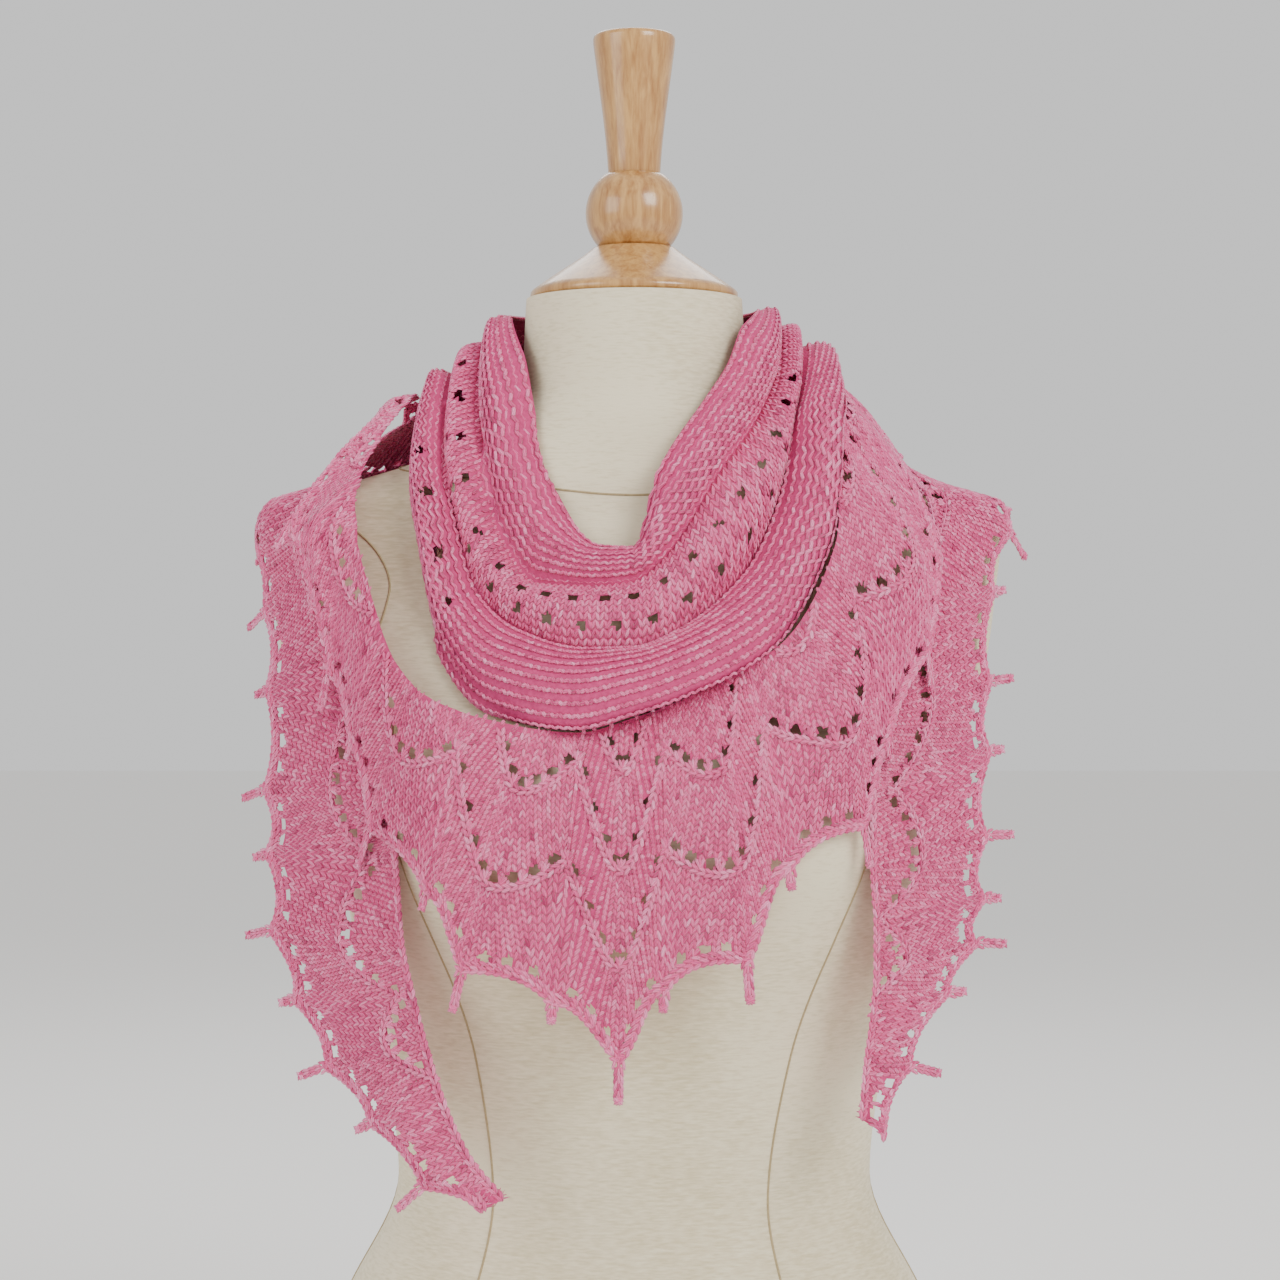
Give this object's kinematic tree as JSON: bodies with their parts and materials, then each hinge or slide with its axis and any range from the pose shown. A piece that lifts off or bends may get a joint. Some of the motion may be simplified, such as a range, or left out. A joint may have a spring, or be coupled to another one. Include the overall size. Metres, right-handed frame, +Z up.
{
  "type": "shawl on a dress form",
  "caption": "Hand-knit lace shawl with a picot hem, worn as a kerchief round the neck of a limbless linen dress form with a turned wooden neck cap.",
  "frame": {"origin": "middle of the dress form's flat underside, on the axis of its neck", "axes": "+Z up along the neck's axis, -Y towards the front of the form, +X towards the viewer's right"},
  "size_m": [0.395, 0.2659, 0.79],
  "materials": {
    "linen": "matt woven cover",
    "beech": "satin lacquer",
    "cotton": "plied cotton with a soft sheen"
  },
  "bodies": {
    "root": {"dress_form": "linen", "neck_cap": "beech", "finial": "beech", "neck_fold_front": "cotton", "neck_fold_back": "cotton", "second_fold_front": "cotton", "second_fold_back": "cotton", "roll_front": "cotton", "roll_back": "cotton", "bib": "cotton", "left_tail": "cotton", "right_tail": "cotton", "left_wing": "cotton", "right_wing": "cotton"}
  },
  "joints": []
}
